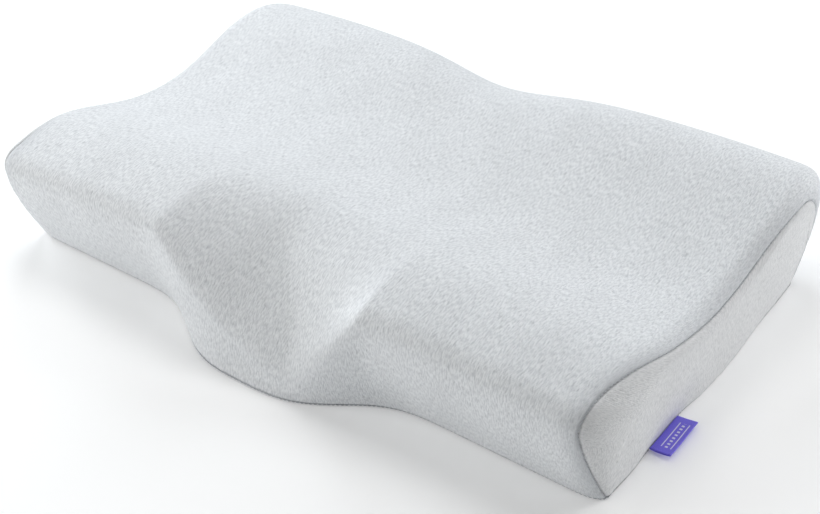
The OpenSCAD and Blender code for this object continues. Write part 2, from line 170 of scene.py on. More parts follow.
def body_at(st, v, w, d=0.0, room=0.0, low=COVER_LOW):
    """Points of the body in millimetres. st is (share, openness, turn) along the length, v runs across the top,
    w down the wall, d is the depth below the outer surface, room what the left end keeps free besides, and low
    the height of the base."""
    share_x, opened, turn = st
    side = np.where(share_x < 0, -1.0, 1.0)
    d_end = d + np.where(share_x < 0, room, 0.0)
    x = share_x * (HALF_L - END_ROUND) + side * turn * (END_ROUND - d_end)
    shut = 1 - opened
    cf = np.exp(-np.abs(x / BULGE_W) ** BULGE_P)
    cb = bell(x / NOTCH_W)
    r_corner = CORNER_R - d
    t_corner = np.clip((np.abs(x) - (HALF_L - d_end - r_corner)) / r_corner, 0, 1)
    cut_top = r_corner * (1 - np.sqrt(1 - t_corner ** 2)) + (END_ROUND - d) * shut
    wide_f = d - HALF_D - BULGE * cf
    wide_b = HALF_D - d - NOTCH * cb
    share = 0.5 + 0.5 * spread(v)
    y_top = mix(wide_f, wide_b, share)
    low_x = mix(-RAMP_BACK_X, RAMP_X, ramp01((-y_top - RAMP_TURN_Y) / RAMP_TURN))
    across = np.where(x < low_x, (low_x - x) / (low_x + RAMP_LEFT), (x - low_x) / (RAMP_RIGHT - low_x))
    cr = (1 - np.clip(across, 0, 1) ** RAMP_FLAT) ** RAMP_LIP
    k_f = arc01((y_top - wide_f) / FRONT_ROUND, EDGE_P)
    k_r = arc01((y_top - wide_f) / RAMP_D, RAMP_EDGE)
    k_b = arc01((wide_b - y_top) / BACK_ROUND, 2)
    drop_f = mix((1 - FRONT_WIDE) * (1 - k_f), (1 - RAMP_FOOT) * (1 - k_r), cr)
    drop_b = (1 - BACK_WIDE) * (1 - k_b)
    z_top = (top_z(x, y_top) - d) * (1 - drop_f - drop_b) - (END_DROP - d) * shut
    z = mix(z_top, low, w)
    down = 1 - np.minimum(1, z / z_top)
    lean = down ** WALL_P
    cut = cut_top * (1 - CORNER_FADE * down ** CORNER_P)
    lean_f = mix(FRONT_IN, BULGE - BASE_BULGE, cf) * lean
    lean_b = (BACK_IN + (BASE_NOTCH - NOTCH) * cb) * lean
    lean_end = END_IN * (1 - z / END_REF) * (np.abs(x) / (HALF_L - d_end)) ** 6
    y = mix(wide_f + lean_f + cut, wide_b - lean_b - cut, share)
    pushed = np.where(x > 0, bow(y, z) * np.abs(x / HALF_L) ** 10, 0.0)
    return np.stack([x - side * lean_end + pushed, y, z], -1)


END_PACK, BASE_PACK = 1.7, 1.6      # how much closer the rows lie towards the end seams and the base seam


def packed(n, power):
    """n steps up to 1, closer together at the end."""
    return 1 - (1 - np.arange(1, n + 1) / n) ** power


def stations(n_long, n_round):
    """(share, openness, turn) from the left end to the right one, closer together towards the end seams."""
    angle = 0.5 * pi * packed(n_round, END_PACK)
    flat = np.linspace(-1, 1, n_long + 1)
    share = np.concatenate([np.full(n_round, -1.0), flat, np.full(n_round, 1.0)])
    opened = np.concatenate([np.cos(angle[::-1]), np.ones(n_long + 1), np.cos(angle)])
    turn = np.concatenate([np.sin(angle[::-1]), np.zeros(n_long + 1), np.sin(angle)])
    return share, opened, turn


def around(n_top, n_wall):
    """(v, w) up the front wall, over the top and down the back wall, closer together towards the base seam."""
    down = packed(n_wall, BASE_PACK)
    v = np.concatenate([np.full(n_wall, -1.0), np.linspace(-1, 1, n_top + 1), np.full(n_wall, 1.0)])
    w = np.concatenate([down[::-1], np.zeros(n_top + 1), down])
    return v, w


def grid_normals(p):
    n = np.cross(np.gradient(p, axis=0), np.gradient(p, axis=1))
    return n / np.maximum(np.linalg.norm(n, axis=-1, keepdims=True), 1e-9)


def run_length(p, axis, middle):
    """Distance along one direction of a grid of points, from its middle row."""
    step = np.linalg.norm(np.diff(p, axis=axis), axis=-1)
    total = np.concatenate([np.zeros_like(np.take(step, [0], axis)), np.cumsum(step, axis)], axis)
    return total - np.take(total, [middle], axis)


def pucker(s):
    """Uneven gathers along a seam, about -1 to 1, s in millimetres."""
    return (0.5 * np.sin(s / 1.9) + 0.35 * np.sin(s / 3.1 + 1.3) + 0.3 * np.sin(s / 5.3 + 0.4)) * (
        0.6 + 0.4 * np.sin(s / 37.0 + 2.0))


# ---------------------------------------------------------------- meshes

def add_mesh(name, verts_mm, faces, uv_mm=None, shade=None):
    mesh = bpy.data.meshes.new(name)
    mesh.from_pydata((np.asarray(verts_mm) * MM).tolist(), [], faces)
    if uv_mm is not None:
        layer = mesh.uv_layers.new(name="fabric")
        loops = np.empty(len(mesh.loops), np.int32)
        mesh.loops.foreach_get("vertex_index", loops)
        layer.data.foreach_set("uv", (np.asarray(uv_mm)[loops] * MM).astype(np.float32).ravel())
    # the shade painted at the seams, which the knit's material reads
    if shade is not None:
        values = mesh.attributes.new("painted_seam_shade", "FLOAT", "POINT").data
        values.foreach_set("value", shade.astype(np.float32).ravel())
    mesh.polygons.foreach_set("use_smooth", [True] * len(mesh.polygons))
    mesh.validate()
    obj = bpy.data.objects.new(name, mesh)
    scene.collection.objects.link(obj)
    return obj


def grid_faces(rows, cols, flip=False):
    i, j = np.meshgrid(np.arange(rows - 1), np.arange(cols - 1), indexing="ij")
    a = (i * cols + j).ravel()
    quads = np.stack([a, a + cols, a + cols + 1, a + 1], -1)
    return (quads[:, ::-1] if flip else quads).tolist()


def thicken(obj, thickness_mm):
    mod = obj.modifiers.new("thickness", "SOLIDIFY")
    mod.thickness = thickness_mm * MM
    mod.offset = -1
    mod.use_even_offset = False


def apply_modifiers(obj):
    """Makes the modified mesh the object's own."""
    mesh = bpy.data.meshes.new_from_object(obj.evaluated_get(bpy.context.evaluated_depsgraph_get()))
    obj.modifiers.clear()
    obj.data = mesh


def place(obj, body, material, replaces=()):
    """Gives a piece its material and the body it rides on, and hides the CAD nodes it stands for."""
    obj.data.materials.clear()
    obj.data.materials.append(material)
    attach(obj, body)
    if replaces:
        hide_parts(*replaces)
    return obj


# ---------------------------------------------------------------- materials

def node(tree, kind, inputs=(), **settings):
    made = tree.nodes.new(kind)
    for key, value in settings.items():
        setattr(made, key, value)
    for key, value in dict(inputs).items():
        if isinstance(value, bpy.types.NodeSocket):
            tree.links.new(value, made.inputs[key])
        else:
            made.inputs[key].default_value = value
    return made


def material(name, roughness, sheen=0.0, metallic=0.0):
    made = bpy.data.materials.new(name)
    made.use_nodes = True
    tree = made.node_tree
    tree.nodes.clear()
    out = tree.nodes.new("ShaderNodeOutputMaterial")
    shader = tree.nodes.new("ShaderNodeBsdfPrincipled")
    tree.links.new(shader.outputs[0], out.inputs[0])
    shader.inputs["Roughness"].default_value = roughness
    shader.inputs["Metallic"].default_value = metallic
    shader.inputs["Sheen Weight"].default_value = sheen
    shader.inputs["Sheen Roughness"].default_value = 0.45
    return made, tree, shader


def noise(tree, vector, scale, detail=2.0, rough=0.55):
    mapped = node(tree, "ShaderNodeMapping", {"Vector": vector, "Scale": scale})
    made = node(tree, "ShaderNodeTexNoise", {"Vector": mapped.outputs[0], "Scale": 1.0, "Detail": detail,
                                             "Roughness": rough})
    return made.outputs[0]


def band(tree, value, low, high, out_low=0.0, out_high=1.0):
    made = node(tree, "ShaderNodeMapRange", {"Value": value, "From Min": low, "From Max": high, "To Min": out_low,
                                             "To Max": out_high}, interpolation_type="SMOOTHSTEP")
    return made.outputs[0]


def blend(tree, factor, a, b, mode="MIX"):
    made = node(tree, "ShaderNodeMix", data_type="RGBA", blend_type=mode)
    for index, value in ((0, factor), (6, a), (7, b)):
        if isinstance(value, bpy.types.NodeSocket):
            tree.links.new(value, made.inputs[index])
        else:
            made.inputs[index].default_value = value
    return made.outputs[2]


def maths(tree, operation, a, b=0.0):
    made = node(tree, "ShaderNodeMath", operation=operation)
    for index, value in ((0, a), (1, b)):
        if isinstance(value, bpy.types.NodeSocket):
            tree.links.new(value, made.inputs[index])
        else:
            made.inputs[index].default_value = value
    return made.outputs[0]


def waves(tree, vector, axis, per_metre, distortion=0.0, detail_scale=1.0):
    """Bands across an axis. The wave texture has one band in 2 pi / 20 of its own length."""
    made = node(tree, "ShaderNodeTexWave", {"Vector": vector, "Scale": per_metre * 2 * pi / 20,
                                            "Distortion": distortion, "Detail": 1.0,
                                            "Detail Scale": detail_scale}, bands_direction=axis)
    return made.outputs[1]


def knit(name, light, grey, dark, fleck=1.0, wale_mm=1.5, sheen=0.18):
    """A brushed heather knit: wales from front to back, short pale and grey flecks of fibre along them, a fuzzy
    sheen, and shade painted darker into the seams and beside the end seams. The cloth's coordinates are in
    metres, so the scales are per metre."""
    made, tree, shader = material(name, 0.92, sheen)
    cloth = node(tree, "ShaderNodeUVMap", uv_map="fabric").outputs[0]
    yarn = noise(tree, cloth, (860, 215, 1), 2.5, 0.6)
    fibre = noise(tree, cloth, (1350, 400, 1), 2.0, 0.6)
    sparse = noise(tree, cloth, (580, 140, 1), 1.5, 0.5)
    broad = noise(tree, cloth, (26, 15, 1), 2.0, 0.5)
    colour = blend(tree, band(tree, yarn, 0.36, 0.66, 0, fleck), light, grey)
    colour = blend(tree, band(tree, sparse, 0.60, 0.72, 0, 0.5 * fleck), colour, dark)
    colour = blend(tree, band(tree, fibre, 0.58, 0.72, 0, 0.55 * fleck), colour, (0.93, 0.95, 0.97, 1))
    tone = band(tree, broad, 0.3, 0.7, 0.975, 1.015)
    tint = node(tree, "ShaderNodeCombineColor", {0: tone, 1: tone, 2: tone}).outputs[0]
    colour = blend(tree, 1.0, colour, tint, "MULTIPLY")
    # shade painted into the seams' creases, and a softer painted shade beside the end seams, mixed towards dark
    crease = node(tree, "ShaderNodeAttribute", attribute_name="painted_seam_shade").outputs["Fac"]
    colour = blend(tree, band(tree, crease, 0.0, 1.0, 0, 0.45), colour, dark)
    tree.links.new(colour, shader.inputs["Base Color"])
    wale = waves(tree, cloth, "X", 1000 / wale_mm, 1.2, 2.0)
    course = waves(tree, cloth, "Y", 1000 / (wale_mm * 0.8), 1.5, 2.0)
    height = maths(tree, "ADD", maths(tree, "MULTIPLY", wale, 0.35), maths(tree, "MULTIPLY", course, 0.2))
    height = maths(tree, "ADD", height, maths(tree, "MULTIPLY", yarn, 1.1))
    height = maths(tree, "ADD", height, maths(tree, "MULTIPLY", fibre, 0.6))
    bump = node(tree, "ShaderNodeBump", {"Height": height, "Strength": 0.55, "Distance": 0.0006})
    tree.links.new(bump.outputs[0], shader.inputs["Normal"])
    tree.links.new(band(tree, fibre, 0.3, 0.7, 0.84, 0.97), shader.inputs["Roughness"])
    return made


def object_coords(tree):
    return node(tree, "ShaderNodeTexCoord").outputs["Object"]


def foam_material():
    """Cream open-cell foam, a little translucent."""
    made, tree, shader = material("memory_foam", 0.85)
    at = object_coords(tree)
    cells = node(tree, "ShaderNodeTexVoronoi", {"Vector": at, "Scale": 700.0}).outputs[0]
    patchy = noise(tree, at, (30, 30, 30), 3.0, 0.6)
    colour = blend(tree, band(tree, patchy, 0.3, 0.7), (0.90, 0.84, 0.70, 1), (0.86, 0.78, 0.62, 1))
    colour = blend(tree, band(tree, cells, 0.0, 0.35, 0.35, 0.0), colour, (0.70, 0.62, 0.47, 1))
    tree.links.new(colour, shader.inputs["Base Color"])
    bump = node(tree, "ShaderNodeBump", {"Height": cells, "Strength": 0.5, "Distance": 0.0005})
    tree.links.new(bump.outputs[0], shader.inputs["Normal"])
    shader.inputs["Subsurface Weight"].default_value = 0.08
    shader.inputs["Subsurface Radius"].default_value = (0.003, 0.002, 0.001)
    return made


def woven(name, light, dark, pitch_mm, roughness):
    """A plain woven or fine knitted cloth in the object's own coordinates: crossing threads, a little uneven."""
    made, tree, shader = material(name, roughness, 0.1)
    at = object_coords(tree)
    warp = waves(tree, at, "Y", 1000 / pitch_mm, 0.4)
    weft = waves(tree, at, "Z", 1000 / pitch_mm, 0.4)
    thread = maths(tree, "MAXIMUM", warp, weft)
    speck = noise(tree, at, (900, 900, 900), 2.0, 0.6)
    colour = blend(tree, band(tree, thread, 0.3, 1.0), dark, light)
    colour = blend(tree, band(tree, speck, 0.5, 0.75, 0, 0.25), colour, dark)
    tree.links.new(colour, shader.inputs["Base Color"])
    bump = node(tree, "ShaderNodeBump", {"Height": thread, "Strength": 0.5, "Distance": 0.0003})
    tree.links.new(bump.outputs[0], shader.inputs["Normal"])
    tree.links.new(band(tree, speck, 0.3, 0.7, roughness - 0.08, roughness + 0.08), shader.inputs["Roughness"])
    return made


def thread_material(name, light, dark):
    """Twisted sewing thread."""
    made, tree, shader = material(name, 0.6, 0.15)
    at = object_coords(tree)
    twist = waves(tree, at, "DIAGONAL", 1400, 0.6)
    speck = noise(tree, at, (1500, 1500, 1500), 2.0, 0.6)
    colour = blend(tree, band(tree, twist, 0.1, 0.9), dark, light)
    colour = blend(tree, band(tree, speck, 0.45, 0.7, 0, 0.35), colour, dark)
    tree.links.new(colour, shader.inputs["Base Color"])
    bump = node(tree, "ShaderNodeBump", {"Height": twist, "Strength": 0.6, "Distance": 0.0002})
    tree.links.new(bump.outputs[0], shader.inputs["Normal"])
    return made


def moulded(name, colour, worn, roughness, metallic, grain=1200.0):
    """Moulded plastic or painted metal: fine grain, worn pale on proud edges, uneven gloss."""
    made, tree, shader = material(name, roughness, 0.0, metallic)
    at = object_coords(tree)
    fine = noise(tree, at, (grain, grain, grain), 3.0, 0.6)
    broad = noise(tree, at, (160, 160, 160), 2.0, 0.5)
    edge = node(tree, "ShaderNodeNewGeometry").outputs["Pointiness"]
    mixed = blend(tree, band(tree, edge, 0.51, 0.58, 0, 0.6), colour, worn)
    mixed = blend(tree, band(tree, broad, 0.45, 0.7, 0, 0.2), mixed, worn)
    tree.links.new(mixed, shader.inputs["Base Color"])
    tree.links.new(band(tree, fine, 0.3, 0.7, roughness - 0.08, roughness + 0.14), shader.inputs["Roughness"])
    bump = node(tree, "ShaderNodeBump", {"Height": fine, "Strength": 0.2, "Distance": 0.0001})
    tree.links.new(bump.outputs[0], shader.inputs["Normal"])
    return made


def label_material():
    """Woven satin tape: fine ribs, and a plain pattern of pale stripes and a row of dots woven into it."""
    made, tree, shader = material("label_satin", 0.5, 0.2)
    cloth = node(tree, "ShaderNodeUVMap", uv_map="fabric").outputs[0]
    parts = node(tree, "ShaderNodeSeparateXYZ", {0: cloth})
    along, across = parts.outputs[0], parts.outputs[1]
    ribs = waves(tree, cloth, "X", 1900, 0.3)
    weft = waves(tree, cloth, "Y", 2600, 0.3)
    speck = noise(tree, cloth, (1800, 900, 1), 2.0, 0.6)
    violet = blend(tree, band(tree, ribs, 0.2, 0.9), (0.135, 0.100, 0.70, 1), (0.190, 0.150, 0.90, 1))
    violet = blend(tree, band(tree, speck, 0.45, 0.7, 0, 0.3), violet, (0.27, 0.22, 0.95, 1))

    def stripe(value, centre, half):
        off = maths(tree, "ABSOLUTE", maths(tree, "SUBTRACT", value, centre))
        return maths(tree, "LESS_THAN", off, half)

    dots = maths(tree, "GREATER_THAN", waves(tree, cloth, "X", 260), 0.55)
    inside = stripe(along, 0.022, 0.0155)
    marks = maths(tree, "MULTIPLY", stripe(across, 0.0095, 0.0011), dots)
    marks = maths(tree, "MAXIMUM", marks, stripe(across, 0.0058, 0.0004))
    marks = maths(tree, "MAXIMUM", marks, stripe(across, 0.0132, 0.0004))
    marks = maths(tree, "MULTIPLY", marks, inside)
    colour = blend(tree, maths(tree, "MULTIPLY", marks, 0.85), violet, (0.86, 0.86, 0.92, 1))
    tree.links.new(colour, shader.inputs["Base Color"])
    height = maths(tree, "ADD", ribs, maths(tree, "MULTIPLY", weft, 0.5))
    height = maths(tree, "ADD", height, maths(tree, "MULTIPLY", marks, 0.8))
    bump = node(tree, "ShaderNodeBump", {"Height": height, "Strength": 0.4, "Distance": 0.00025})
    tree.links.new(bump.outputs[0], shader.inputs["Normal"])
    tree.links.new(band(tree, speck, 0.3, 0.7, 0.42, 0.6), shader.inputs["Roughness"])
    return made


def floor_material():
    made, tree, shader = material("floor", 0.75)
    shader.inputs["Emission Color"].default_value = (1, 1, 1, 1)
    shader.inputs["Emission Strength"].default_value = FLOOR_GLOW
    shade = noise(tree, object_coords(tree), (3, 3, 3), 2.0, 0.5)
    colour = blend(tree, band(tree, shade, 0.3, 0.7), (0.90, 0.905, 0.91, 1), (0.92, 0.925, 0.93, 1))
    tree.links.new(colour, shader.inputs["Base Color"])
    return made


# ---------------------------------------------------------------- the cover

PINCH, PINCH_W = 1.4, 1.6        # how deep and how wide the fabric dips into a seam
GATHER, GATHER_W = 0.32, 9.0     # how high the gathers beside a seam are and how far they reach
GATHER_FREE = 2.5                # how near the seam they fade out
# the end seams' place on the rounded edge, in radians: at the front edge, in the middle and towards the back
SEAM_FRONT, SEAM_MIDDLE, SEAM_BACK = 0.10, 0.95, 1.2
# where it changes over from one to the next, and over what length: on the top, and as a share of the back wall
TO_MIDDLE_Y, TO_MIDDLE_L, TO_BACK_Y, TO_BACK_L = -190.0, 85.0, 60.0, 80.0
BACK_WALL_START, BACK_WALL_L = 0.2, 0.85
PAINTED_CREASE_W = 1.2                   # how wide the shade painted into the crease at a seam is
# how strong the shade painted beside an end seam is, on the top and on the end panel, and how far it reaches
TOP_PAINTED_SHADE, END_PAINTED_SHADE, PAINTED_SHADE_W = 0.75, 0.3, 15.0
CROWN, CROWN_W = 1.6, 26.0       # how far the flat end panels swell out between their seams
COVER_T = 1.3                    # thickness of the knit
UNDER_Z, RIM_RISE, RIM_W = 0.1, 1.5, 2.2    # height of the underside, and how it rises towards its seam
FOAM_IN, FOAM_UP = 0.5, 0.3      # how far the foam block keeps inside the CAD's core, at its sides and its base


def seam_dip(distance, along):
    """How far the surface moves outwards beside a seam: down into it, with small gathers next to it."""
    near = np.exp(-(distance / GATHER_W) ** 2) * (1 - np.exp(-(distance / GATHER_FREE) ** 2))
    return -PINCH * np.exp(-(distance / PINCH_W) ** 2) + GATHER * pucker(along) * near


def painted_seam_shade(distance):
    """How much shade is painted into the crease at a seam, for the knit's material."""
    return np.exp(-(distance / PAINTED_CREASE_W) ** 2)


def painted_end_seam_shade(to_end, to_base, strength):
    """The shade painted into the crease, and a softer painted shade along the end seam only."""
    return np.maximum(painted_seam_shade(np.minimum(to_end, to_base)), strength * np.exp(-(to_end / PAINTED_SHADE_W) ** 2))


def seam_angle(v, w):
    """How far round the end's rounded edge the seam runs. It starts at the rim in the front base corner, climbs
    away from the rim, crosses the front edge there and comes back near the rim further back."""
    wall = np.arcsin(np.clip(mix(sin(SEAM_FRONT), 1.0, w), -1, 1))
    back = SEAM_BACK + (0.5 * pi - SEAM_BACK) * (1 - smooth_step((1 - w - BACK_WALL_START) / BACK_WALL_L))
    y = HALF_D * spread(v)
    front = SEAM_FRONT + (SEAM_MIDDLE - SEAM_FRONT) * smooth_step((y - TO_MIDDLE_Y) / TO_MIDDLE_L)
    top = front + (SEAM_BACK - SEAM_MIDDLE) * smooth_step((y - TO_BACK_Y) / TO_BACK_L)
    return np.where(w > 0, np.where(v < 0, wall, back), top)


def skin_grid(n_top, n_wall, n_long, n_round):
    """The long skin from seam to seam, and the way round it."""
    v, w = around(n_top, n_wall)
    angle = packed(n_round, END_PACK)[:, None] * seam_angle(v, w)[None, :]
    flat = np.zeros((n_long + 1, len(v)))
    angle = np.concatenate([angle[::-1], flat, angle])
    share = np.concatenate([np.full(n_round, -1.0), np.linspace(-1, 1, n_long + 1), np.full(n_round, 1.0)])
    return body_at((share[:, None], np.cos(angle), np.sin(angle)), v[None, :], w[None, :])


def top_panel():
    """The knitted skin over the front wall, the top and the back wall."""
    p = skin_grid(150, 40, 190, 26)
    rows, cols = p.shape[:2]
    u_len = run_length(p, 0, rows // 2)
    v_len = run_length(p, 1, cols // 2)
    n = grid_normals(p)
    to_end = np.minimum(u_len - u_len[:1], u_len[-1:] - u_len)
    to_base = np.minimum(v_len - v_len[:, :1], v_len[:, -1:] - v_len)
    p = p + n * (seam_dip(to_end, v_len) + seam_dip(to_base, u_len))[..., None]
    # the wales run straight across the pillow, from front to back
    uv = np.stack([np.broadcast_to(u_len.mean(1, keepdims=True), u_len.shape), v_len], -1)
    # the shade painted at the seams: in their creases, and in a broad band beside the end seams
    shade = painted_end_seam_shade(to_end, to_base, TOP_PAINTED_SHADE)
    return add_mesh("cover_top_knit", p.reshape(-1, 3), grid_faces(rows, cols), uv.reshape(-1, 2), shade)


def nearest(points, line):
    """Distance to a line of points, and how far along that line the nearest point is."""
    run = np.concatenate([[0.0], np.cumsum(np.linalg.norm(np.diff(line, axis=0), axis=1))])
    gap = np.linalg.norm(points[:, None, :] - line[None, :, :], axis=-1)
    k = gap.argmin(1)
    return gap[np.arange(len(points)), k], run[k]


def end_line(side, n_top=220, n_wall=60, lead=0.0):
    """The end seam's line, from the front base corner over the top to the back base corner."""
    v, w = around(n_top, n_wall)
    angle = seam_angle(v, w) + lead
    return body_at((np.full_like(v, side), np.cos(angle), np.sin(angle)), v, w)


def same_points(verts, per_mm):
    """The first vertex of each set that coincides on a grid, and which set each vertex belongs to."""
    keys = np.round(verts * per_mm).astype(np.int64)
    _, first, where = np.unique(keys, axis=0, return_index=True, return_inverse=True)
    return first, where.ravel()


def vertex_normals(verts, faces):
    """The normals of a mesh of quads."""
    a, b, c, d = (verts[faces[:, k]] for k in range(4))
    face = np.cross(c - a, d - b)
    total = np.zeros_like(verts)
    for k in range(4):
        np.add.at(total, faces[:, k], face)
    return total / np.maximum(np.linalg.norm(total, axis=1, keepdims=True), 1e-12)


def end_panel(side, name, n_top=150, n_wall=36, n_strip=12):
    """The flat gusset and the strip that turns over its rounded edge up to the seam."""
    v, w = around(n_top, n_wall)
    start = seam_angle(v, w)
    k = np.linspace(0, 1, n_strip + 1)[:, None]
    angle = start + (0.5 * pi - start) * k
    strip = body_at((np.full_like(angle, side), np.cos(angle), np.sin(angle)), v[None, :], w[None, :])
    step = np.linalg.norm(np.diff(strip, axis=0), axis=-1)
    left = np.concatenate([np.cumsum(step[::-1], 0)[::-1], np.zeros((1, len(v)))])
    rim = strip[-1, :, 1:]
    along = np.gradient(rim, axis=0)
    out = np.stack([-along[:, 1], along[:, 0]], -1)
    out /= np.maximum(np.linalg.norm(out, axis=1, keepdims=True), 1e-9)
    strip_uv = rim[None] + left[..., None] * out[None]
    down = np.concatenate([[0.0], w[-n_wall:]])[None, :]
    flat = body_at((np.float64(side), np.float64(0), np.float64(1)), np.linspace(-1, 1, n_top + 1)[:, None], down)
    verts = np.concatenate([strip.reshape(-1, 3), flat.reshape(-1, 3)])
    uv = np.concatenate([strip_uv.reshape(-1, 2), flat[..., 1:].reshape(-1, 2)])
    faces = np.array(grid_faces(n_strip + 1, len(v), side < 0))
    caps = np.array(grid_faces(n_top + 1, n_wall + 1, side > 0)) + strip.shape[0] * strip.shape[1]
    faces = np.concatenate([faces, caps])
    # join the strip to the flat where they meet
    first, where = same_points(verts, 500)
    verts, uv, faces = verts[first], uv[first], where[faces]
    faces = faces[[len(set(face)) == 4 for face in faces.tolist()]]
    line = end_line(side)
    base = np.stack([line[0] + (line[-1] - line[0]) * t for t in np.linspace(0, 1, 120)])
    to_seam, along = nearest(verts, line)
    to_base, along_base = nearest(verts, base)
    swell = CROWN * (1 - np.exp(-(np.minimum(to_seam, to_base) / CROWN_W) ** 2))
    if side < 0:
        off = np.hypot(np.maximum(np.abs(verts[:, 1] - ZIP_Y) - SLOT_L / 2, 0),
                       np.maximum(np.abs(verts[:, 2] - ZIP_Z) - SLOT_H / 2, 0))
        swell = swell * (1 - np.exp(-(off / SLOT_FLAT) ** 2))
    dip = seam_dip(to_seam, along) + seam_dip(to_base, along_base)
    verts = verts + vertex_normals(verts, faces) * (dip + swell)[:, None]
    # the shade painted into the seams' creases and beside the end seam
    return add_mesh(name, verts, faces.tolist(), uv, painted_end_seam_shade(to_seam, to_base, END_PAINTED_SHADE))


def base_panel():
    """The plain knit under the pillow, its rim turned up to the base seam."""
    st = [s[:, None] for s in stations(120, 10)]
    v = np.linspace(-1, 1, 91)[None, :]
    p = body_at(st, v, np.ones_like(v))
    rows, cols = p.shape[:2]
    u_len = run_length(p, 0, rows // 2)
    to_rim = np.minimum(np.minimum(u_len - u_len[:1], u_len[-1:] - u_len),
                        np.minimum(p[..., 1] - p[:, :1, 1], p[:, -1:, 1] - p[..., 1]))
    p[..., 2] = UNDER_Z + RIM_RISE * np.exp(-(np.maximum(to_rim, 0) / RIM_W) ** 2)
    uv = np.stack([p[..., 0], p[..., 1]], -1)
    return add_mesh("cover_base_knit", p.reshape(-1, 3), grid_faces(rows, cols, True), uv.reshape(-1, 2))


# ---------------------------------------------------------------- stitches, the zip's opening and the label

# the zip's opening: its middle, its length and its height
ZIP_Y, ZIP_Z, SLOT_L, SLOT_H = -6.0, 26.0, 276.0, 10.0
SLOT_FLAT = 12.0                 # how far the end panel's swell keeps off the opening
CUTTER_X, CUTTER_L = -290.0, 60.0    # the middle and length of the box that cuts it
# rows of stitches: pitch, length of a stitch and half its thickness
SEAM_STITCH, TOP_STITCH, LABEL_STITCH = (3.4, 2.6, 0.42), (3.0, 2.3, 0.28), (3.6, 2.4, 0.26)
# how deep each row lies: the end seams, the base seam, beside the zip and above the label
END_SEAM_DEPTH, BASE_SEAM_DEPTH, TOPSTITCH_DEPTH, LABEL_STITCH_DEPTH = 1.2, 0.3, 0.1, 0.15
BASE_SEAM_Z, BASE_SEAM_IN = 0.9, 0.4
TOPSTITCH_OFF, TOPSTITCH_OUT, TOPSTITCH_PAST = 3.2, 0.35, 4.0   # off the opening, off the panel, past its ends
LABEL_STITCH_Z, LABEL_STITCH_SINK, LABEL_STITCH_IN = 7.0, 0.1, 2.0
LABEL_T, LABEL_GAP = 0.42, 0.22          # the tape's thickness, and half the gap between its two layers
LABEL_ROOT, LABEL_FOLD = 0.3, 1.4        # how far its root reaches in, and the length its fold takes up
LABEL_LIFT, LABEL_PART, LABEL_SWAY = 1.9, 0.18, 0.35    # how far it curls up, parts and waves


def stitches(name, line, up, pitch, length, radius, sink):
    """A row of separate stitches along a line: each a thread that dives into the cloth at both ends."""
    run = np.concatenate([[0.0], np.cumsum(np.linalg.norm(np.diff(line, axis=0), axis=1))])
    at = np.arange(pitch / 2, run[-1], pitch)
    marks = np.stack([np.interp(at, run, line[:, k]) for k in range(3)], -1)
    ups = np.stack([np.interp(at, run, up[:, k]) for k in range(3)], -1)
    verts, faces = [], []
    rings, sides = 6, 6
    tangent = np.gradient(marks, axis=0)
    tangent /= np.linalg.norm(tangent, axis=1, keepdims=True)
    for centre, t, n in zip(marks, tangent, ups):
        n = n / np.linalg.norm(n)
        b = np.cross(t, n)
        first = len(verts)
        for i in range(rings + 1):
            s = 2 * i / rings - 1
            mid = centre + t * (s * length / 2) + n * (radius * 0.8 * (1 - s * s) - sink)
            r = radius * (1 - 0.55 * s ** 4)
            for k in range(sides):
                a = 2 * pi * k / sides
                verts.append(mid + r * (cos(a) * b + sin(a) * n))
        for i in range(rings):
            for k in range(sides):
                a, c = first + i * sides, first + i * sides + (k + 1) % sides
                faces.append((a + k, c, c + sides, a + k + sides))
        faces.append(tuple(first + k for k in range(sides - 1, -1, -1)))
        faces.append(tuple(first + rings * sides + k for k in range(sides)))
    return add_mesh(name, np.array(verts), faces)


def end_seam(side, name):
    """The stitches along an end seam."""
    line, ahead = end_line(side), end_line(side, lead=0.02)
    normal = np.cross(ahead - line, np.gradient(line, axis=0)) * side
    normal /= np.linalg.norm(normal, axis=1, keepdims=True)
    # near the base corners that direction is uncertain, so it is turned to the outside
    outside = np.stack([np.full(len(line), float(side)), 0.5 * np.sign(line[:, 1]), np.full(len(line), 0.2)], -1)
    normal *= np.where((normal * outside).sum(1, keepdims=True) < 0, -1.0, 1.0)
    return stitches(name, line, normal + 0.25 * outside, *SEAM_STITCH, END_SEAM_DEPTH)


def base_seam():
    """The stitches all round the base."""
    st = stations(300, 12)
    one = np.ones_like(st[0])
    front = body_at(st, -one, one)
    back = body_at(st, one, one)[::-1]
    line = np.concatenate([front, back, front[:1]])
    line[:, 2] = BASE_SEAM_Z
    centre = line.mean(0)
    out = line - centre
    out[:, 2] = 0
    out /= np.linalg.norm(out, axis=1, keepdims=True)
    return stitches("seam_base_stitches", line - out * BASE_SEAM_IN, out, *SEAM_STITCH, BASE_SEAM_DEPTH)


def cut_slot(panel):
    """Cuts the zip's opening through the thick left panel, with a box that reaches past both its faces."""
    bm = bmesh.new()
    bmesh.ops.create_cube(bm, size=1)
    for vert in bm.verts:
        x, y, z = vert.co
        vert.co = MM * (CUTTER_X + x * CUTTER_L), MM * (ZIP_Y + y * SLOT_L), MM * (ZIP_Z + z * SLOT_H)
    mesh = bpy.data.meshes.new("slot")
    bm.to_mesh(mesh)
    bm.free()
    cutter = bpy.data.objects.new("slot", mesh)
    scene.collection.objects.link(cutter)
    mod = panel.modifiers.new("slot", "BOOLEAN")
    mod.operation, mod.object, mod.solver = "DIFFERENCE", cutter, "EXACT"
    apply_modifiers(panel)
    bpy.data.objects.remove(cutter)
    bpy.data.meshes.remove(mesh)


